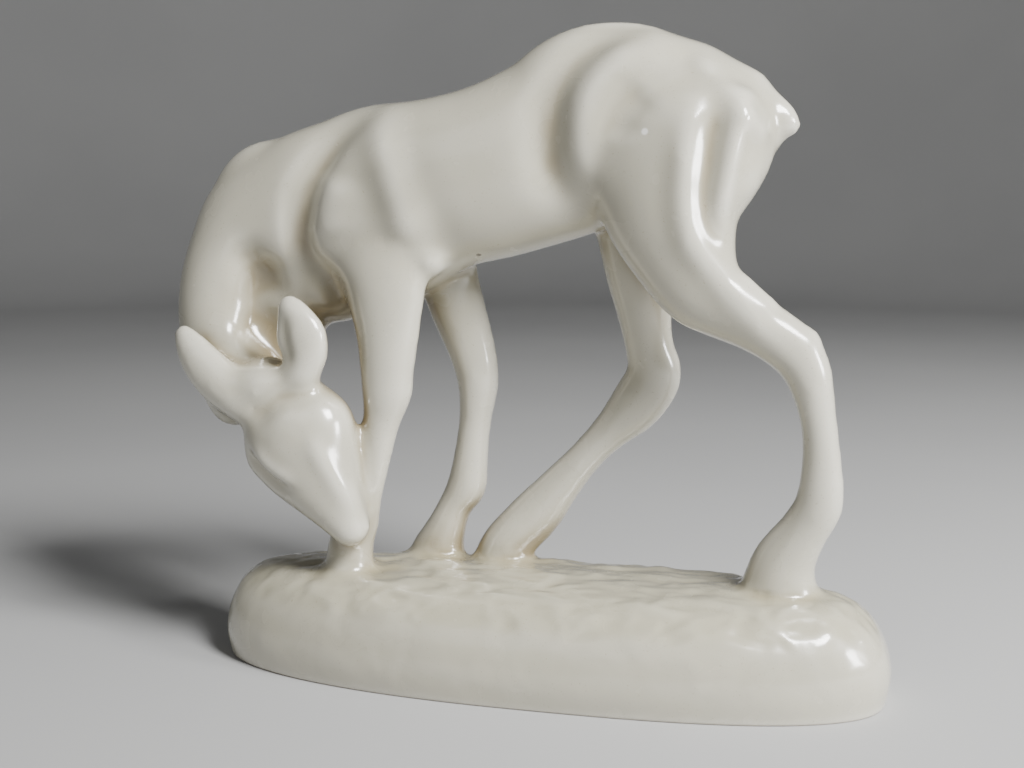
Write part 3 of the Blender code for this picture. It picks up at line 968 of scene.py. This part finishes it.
class Recipe:
    """Node tree of one finish, with its shader and short ways to add nodes."""

    def __init__(self, name: str) -> None:
        """Starts the finish.

        Args:
            name: Name of the material.
        """
        self.material = bpy.data.materials.new(name)
        self.material.use_nodes = True
        self.nodes = self.material.node_tree.nodes
        self.links = self.material.node_tree.links
        self.shader = self.nodes["Principled BSDF"]
        self.place = self.nodes.new("ShaderNodeTexCoord").outputs["Object"]

    def value(self, name: str, amount: float | tuple[float, ...]) -> None:
        """Sets one of the shader's own sockets.

        Args:
            name: Name of the socket.
            amount: Its number or colour.
        """
        self.shader.inputs[name].default_value = amount

    def noise(self, size: float, detail: float = 2.0) -> Socket:
        """Adds a noise.

        Args:
            size: Length of its lumps, in millimetres.
            detail: Octaves of finer lumps.

        Returns:
            Its value, about 0 to 1.
        """
        texture = self.nodes.new("ShaderNodeTexNoise")
        texture.inputs["Scale"].default_value = 1 / (size * MM)
        texture.inputs["Detail"].default_value = detail
        self.links.new(self.place, texture.inputs["Vector"])
        return texture.outputs["Fac"]

    def attribute(self, attribute: Attribute) -> Socket:
        """Value of one of the skin's attributes."""
        node = self.nodes.new("ShaderNodeAttribute")
        node.attribute_name = attribute.value
        return node.outputs["Fac"]

    def ramp(self, source: Socket, stops: tuple[tuple[float, float], ...]) -> Socket:
        """Maps a value through a smooth ramp of greys.

        Args:
            source: Value to map.
            stops: Position and grey of each stop.

        Returns:
            The mapped value.
        """
        node = self.nodes.new("ShaderNodeValToRGB")
        node.color_ramp.interpolation = "EASE"
        elements = node.color_ramp.elements
        while len(elements) < len(stops):
            elements.new(0.5)
        for element, (position, grey) in zip(elements, stops):
            element.position = position
            element.color = (grey, grey, grey, 1.0)
        self.links.new(source, node.inputs["Fac"])
        return node.outputs["Color"]

    def blend(
        self,
        amount: Socket,
        low: Socket | tuple[float, ...],
        high: Socket | tuple[float, ...],
    ) -> Socket:
        """Mixes two colours.

        Args:
            amount: How much of the second shows.
            low: First colour.
            high: Second colour.

        Returns:
            The mixed colour.
        """
        node = self.nodes.new("ShaderNodeMix")
        node.data_type = "RGBA"
        self.links.new(amount, node.inputs["Factor"])
        for socket, colour in ((node.inputs[6], low), (node.inputs[7], high)):
            if isinstance(colour, tuple):
                socket.default_value = (*colour[:3], 1.0)
            else:
                self.links.new(colour, socket)
        return node.outputs[2]

    def math(self, operation: str, first: Socket, second: Socket | float) -> Socket:
        """Does one sum.

        Args:
            operation: Blender's name for it.
            first: First value.
            second: Second value.

        Returns:
            The result.
        """
        node = self.nodes.new("ShaderNodeMath")
        node.operation = operation
        self.links.new(first, node.inputs[0])
        if isinstance(second, (int, float)):
            node.inputs[1].default_value = second
        else:
            self.links.new(second, node.inputs[1])
        return node.outputs[0]

    def flipped(self, source: Socket) -> Socket:
        """One less the value."""
        node = self.nodes.new("ShaderNodeMath")
        node.operation = "SUBTRACT"
        node.inputs[0].default_value = 1.0
        self.links.new(source, node.inputs[1])
        return node.outputs[0]

    def spot(self, centre: Place, radius: float) -> Socket:
        """Soft round spot about a point of the surface.

        Args:
            centre: The point, in metres.
            radius: Where the spot ends, in millimetres.

        Returns:
            1 in the spot's middle and 0 outside it.
        """
        away = self.nodes.new("ShaderNodeVectorMath")
        away.operation = "DISTANCE"
        away.inputs[1].default_value = centre
        self.links.new(self.place, away.inputs[0])
        span = self.nodes.new("ShaderNodeMapRange")
        span.interpolation_type = "SMOOTHSTEP"
        span.inputs["From Min"].default_value = radius * MM * 0.45
        span.inputs["From Max"].default_value = radius * MM
        span.inputs["To Min"].default_value = 1.0
        span.inputs["To Max"].default_value = 0.0
        self.links.new(away.outputs["Value"], span.inputs["Value"])
        return span.outputs["Result"]

    def bump(
        self, height: Socket, strength: float, distance: float, under: Socket | None = None
    ) -> Socket:
        """Adds a bump to the surface.

        Args:
            height: Value that stands for the height.
            strength: How much of it shows.
            distance: Height of 1, in millimetres.
            under: Bump that this one lies on.

        Returns:
            The bumped normal.
        """
        node = self.nodes.new("ShaderNodeBump")
        node.inputs["Strength"].default_value = strength
        node.inputs["Distance"].default_value = distance * MM
        self.links.new(height, node.inputs["Height"])
        if under:
            self.links.new(under, node.inputs["Normal"])
        return node.outputs["Normal"]


@dataclass(frozen=True)
class Flaw:
    """Small blemish in the glaze: a pinhole or a pale speck."""

    place: Place
    radius: float
    colour: Colour


@dataclass(frozen=True)
class CreamGlaze:
    """Thick glossy cream glaze: whiter where it runs thin, greener and browner where it gathers, with painted
    shade in closed-in folds.
    """

    body: Colour = (0.480, 0.455, 0.362)
    thin: Colour = (0.600, 0.578, 0.490)
    # tone of gathered glaze and of specks, also laid on closed-in folds as painted shade
    pooled_and_shaded: Colour = (0.215, 0.165, 0.080)
    clouded: Colour = (0.430, 0.412, 0.335)
    earthy: Colour = (0.400, 0.370, 0.250)
    bare: Colour = (0.560, 0.500, 0.420)
    gloss: tuple[float, float] = (0.18, 0.30)
    coat_roughness: float = 0.14
    cloud_size: float = 38.0
    sheen_size: float = 14.0
    wave_size: float = 9.0
    peel_size: float = 1.7
    grain_size: float = 0.9

    def material(self, flaws: tuple[Flaw, ...]) -> bpy.types.Material:
        """Mixes the finish.

        Args:
            flaws: Blemishes that show in it.

        Returns:
            The glaze's material.
        """
        recipe = Recipe("cream_glaze")
        pool = recipe.attribute(Attribute.POOL)
        cloud = recipe.ramp(recipe.noise(self.cloud_size, 3.0), ((0.35, 0.0), (0.7, 1.0)))
        colour = recipe.blend(recipe.math("MULTIPLY", cloud, 0.55), self.body, self.clouded)
        colour = recipe.blend(recipe.ramp(pool, ((0.18, 0.85), (0.5, 0.0))), colour, self.thin)
        colour = recipe.blend(recipe.ramp(pool, ((0.5, 0.0), (0.95, 0.9))), colour, self.pooled_and_shaded)
        # painted shade: the colour darkens towards the pooled tone where a point lies closed in
        painted_shade = recipe.attribute(Attribute.PAINTED_SHADE)
        colour = recipe.blend(recipe.ramp(painted_shade, ((0.10, 0.0), (0.54, 0.85))), colour, self.pooled_and_shaded)
        ground = recipe.math("MULTIPLY", recipe.attribute(Attribute.GROUND), 0.45)
        colour = recipe.blend(ground, colour, self.earthy)
        grain = recipe.ramp(recipe.noise(self.grain_size, 2.0), ((0.66, 0.0), (0.74, 0.35)))
        colour = recipe.blend(grain, colour, self.pooled_and_shaded)
        for flaw in flaws:
            colour = recipe.blend(recipe.spot(flaw.place, flaw.radius), colour, flaw.colour)
        foot = recipe.attribute(Attribute.FOOT)
        colour = recipe.blend(foot, colour, self.bare)
        recipe.links.new(colour, recipe.shader.inputs["Base Color"])
        sheen = recipe.ramp(recipe.noise(self.sheen_size, 2.0), ((0.3, self.gloss[0]), (0.75, self.gloss[1])))
        rough = recipe.blend(foot, sheen, (0.8, 0.8, 0.8))
        recipe.links.new(rough, recipe.shader.inputs["Roughness"])
        recipe.value("IOR", 1.5)
        recipe.value("Coat Roughness", self.coat_roughness)
        recipe.links.new(recipe.flipped(foot), recipe.shader.inputs["Coat Weight"])
        waves = recipe.bump(recipe.noise(self.wave_size, 1.0), 0.35, 0.12)
        peel = recipe.bump(recipe.noise(self.peel_size, 1.0), 0.25, 0.03, waves)
        recipe.links.new(peel, recipe.shader.inputs["Normal"])
        recipe.links.new(waves, recipe.shader.inputs["Coat Normal"])
        return recipe.material


@dataclass(frozen=True)
class StudioFloor:
    """Plain pale matt floor."""

    colour: Colour = (0.45, 0.45, 0.445)
    faded: Colour = (0.42, 0.42, 0.417)

    def material(self) -> bpy.types.Material:
        """Mixes the finish."""
        recipe = Recipe("studio_floor")
        drift = recipe.ramp(recipe.noise(600, 3.0), ((0.3, 0.0), (0.7, 1.0)))
        recipe.links.new(recipe.blend(drift, self.colour, self.faded), recipe.shader.inputs["Base Color"])
        recipe.value("Roughness", 0.75)
        return recipe.material


@dataclass
class Figurine:
    """The whole casting: deer and mound in one glazed piece."""

    mound: Mound = field(default_factory=Mound)
    torso: Torso = field(default_factory=Torso)
    neck: Neck = field(default_factory=Neck)
    head: Head = field(default_factory=Head)
    forelegs: Forelegs = field(default_factory=Forelegs)
    hind_legs: HindLegs = field(default_factory=HindLegs)
    glaze: CreamGlaze = field(default_factory=CreamGlaze)
    pinhole: Flaw = Flaw((-27.0, 0.0, 137.0), 1.5, (0.06, 0.045, 0.03))
    speck: Flaw = Flaw((46.0, 0.0, 187.0), 1.8, (0.78, 0.77, 0.72))

    def build(self) -> Skin:
        """Models and dresses the casting.

        Returns:
            The finished skin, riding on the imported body.
        """
        parts = (self.torso, self.neck, self.head, self.forelegs, self.hind_legs)
        masses = [mass for part in parts for mass in part.masses()]
        marks = [group for part in (self.torso, self.neck, self.head) for group in part.mark_sets()]
        skin = Skin(masses, marks, self.mound)
        skin.merge()
        skin.soften(skin.softening)
        REPORT.info("clay merged: %d masses, %d points", len(masses), len(skin.obj.data.vertices))
        skin.press()
        REPORT.info("creases pressed: %d", sum(len(group.marks) for group in marks))
        skin.note_ground()
        skin.fillet()
        skin.soften(skin.polishing)
        flaws = self.flaws(skin)
        material = self.glaze.material(flaws)
        self.mound.press_relief(skin.obj, material)
        skin.soften(2)
        self.mound.trim_foot(skin.obj)
        skin.note_pools()
        # painted shade: darkening of points that lie closed in by the casting
        skin.note_painted_shade()
        skin.note_foot()
        skin.seat()
        skin.obj.data.shade_smooth()
        return skin

    def flaws(self, skin: Skin) -> tuple[Flaw, ...]:
        """Places the blemishes on the near flank.

        Args:
            skin: Softened surface, before it is centred.

        Returns:
            The glaze's blemishes.
        """
        shift = self.plan_shift(skin)
        found = []
        for flaw in (self.pinhole, self.speck):
            x, _, z = flaw.place
            start = Vector((x, -90.0, z + self.mound.datum())) * MM
            hit, point, _, _ = skin.obj.ray_cast(start, Vector((0.0, 1.0, 0.0)))
            if hit:
                found.append(Flaw(tuple(point + shift), flaw.radius, flaw.colour))
        return tuple(found)

    def plan_shift(self, skin: Skin) -> Vector:
        """Travel that will centre the surface on the cast solid."""
        low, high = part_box(NODE)
        points = read_points(skin.obj.data)
        middle = (points.min(axis=0) + points.max(axis=0)) / 2
        aim = (low + high) / 2
        return Vector((aim.x - middle[0], aim.y - middle[1], 0.0))


@dataclass(frozen=True)
class Lamp:
    """Soft area light: where it hangs and its width and height in metres, and its watts."""

    name: str
    place: Place
    size: tuple[float, float]
    power: float


@dataclass
class Studio:
    """Pale floor, soft lights and the camera."""

    camera_place: Place = (112.364, -515.151, 202.0)
    camera_tilt: float = 82.0
    camera_turn: float = 13.6
    lens: float = 43.45
    floor_radius: float = 2.2
    sweep_radius: float = 0.9
    backdrop_height: float = 1.3
    aim: Place = (0.0, 0.0, 0.14)
    lamps: tuple[Lamp, ...] = (
        Lamp("window", (0.9, -0.58, 1.08), (0.40, 0.50), 46.0),
        Lamp("side_window", (1.35, -0.35, 0.45), (0.3, 0.4), 20.0),
        Lamp("front_fill", (-0.4, -1.6, 1.3), (1.3, 1.0), 3.0),
    )
    surround_colour: Colour = (0.90, 0.92, 0.95)
    surround_strength: float = 0.08
    finish: StudioFloor = field(default_factory=StudioFloor)

    def floor(self) -> bpy.types.Object:
        """Lays the floor.

        Returns:
            A wide round sheet at table height that curves up into a backdrop all round.
        """
        bm = bmesh.new()
        middle = bm.verts.new((0.0, 0.0, 0.0))
        profile = [middle, bm.verts.new((self.floor_radius, 0.0, 0.0))]
        for turn in np.radians(np.arange(7.5, 91, 7.5)):
            out = self.floor_radius + self.sweep_radius * math.sin(turn)
            profile.append(bm.verts.new((out, 0.0, self.sweep_radius * (1 - math.cos(turn)))))
        rim = profile[-1].co
        profile.append(bm.verts.new((rim.x, 0.0, self.backdrop_height)))
        edges = [bm.edges.new(pair) for pair in zip(profile, profile[1:])]
        bmesh.ops.spin(
            bm, geom=profile + edges, cent=(0, 0, 0), axis=(0, 0, 1), angle=math.tau, steps=96, use_merge=True
        )
        bmesh.ops.remove_doubles(bm, verts=bm.verts, dist=1e-5)
        bmesh.ops.recalc_face_normals(bm, faces=bm.faces)
        mesh = bpy.data.meshes.new("studio_floor")
        bm.to_mesh(mesh)
        bm.free()
        mesh.materials.append(self.finish.material())
        mesh.shade_smooth()
        floor = bpy.data.objects.new("studio_floor", mesh)
        bpy.context.scene.collection.objects.link(floor)
        return floor

    def hang(self, lamp: Lamp) -> None:
        """Hangs one light, turned to the aim.

        Args:
            lamp: The light.
        """
        data = bpy.data.lights.new(lamp.name, "AREA")
        data.shape = "RECTANGLE"
        data.size, data.size_y = lamp.size
        data.energy = lamp.power
        obj = bpy.data.objects.new(lamp.name, data)
        obj.location = lamp.place
        obj.rotation_euler = (Vector(self.aim) - Vector(lamp.place)).to_track_quat("-Z", "Y").to_euler()
        bpy.context.scene.collection.objects.link(obj)

    def lights(self) -> None:
        """Hangs the lights and sets the soft surround."""
        for lamp in self.lamps:
            self.hang(lamp)
        world = bpy.data.worlds.new("studio")
        world.use_nodes = True
        surround = world.node_tree.nodes["Background"]
        surround.inputs["Color"].default_value = (*self.surround_colour, 1.0)
        surround.inputs["Strength"].default_value = self.surround_strength
        bpy.context.scene.world = world

    def camera(self, shift: Vector) -> bpy.types.Object:
        """Sets up the camera.

        Args:
            shift: Travel that centred the figurine.

        Returns:
            The camera, made the scene's own.
        """
        data = bpy.data.cameras.new("camera")
        data.lens = self.lens
        data.sensor_width = 36.0
        camera = bpy.data.objects.new("camera", data)
        camera.location = Vector(self.camera_place) * MM + Vector((shift.x, shift.y, 0.0))
        camera.rotation_euler = (math.radians(self.camera_tilt), 0.0, math.radians(self.camera_turn))
        bpy.context.scene.collection.objects.link(camera)
        bpy.context.scene.camera = camera
        return camera


def main() -> None:
    """Builds the figurine and its studio."""
    logging.basicConfig(level=logging.INFO, format="%(name)s: %(message)s")
    skin = Figurine().build()
    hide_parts(NODE)
    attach(skin.obj, "root")
    triangles = sum(len(face.vertices) - 2 for face in skin.obj.data.polygons)
    REPORT.info("glazed casting: %d triangles", triangles)
    studio = Studio()
    REPORT.info("floor: %s", studio.floor().name)
    studio.lights()
    REPORT.info("camera: %s", studio.camera(skin.shift).name)


if __name__ == "__main__":
    main()
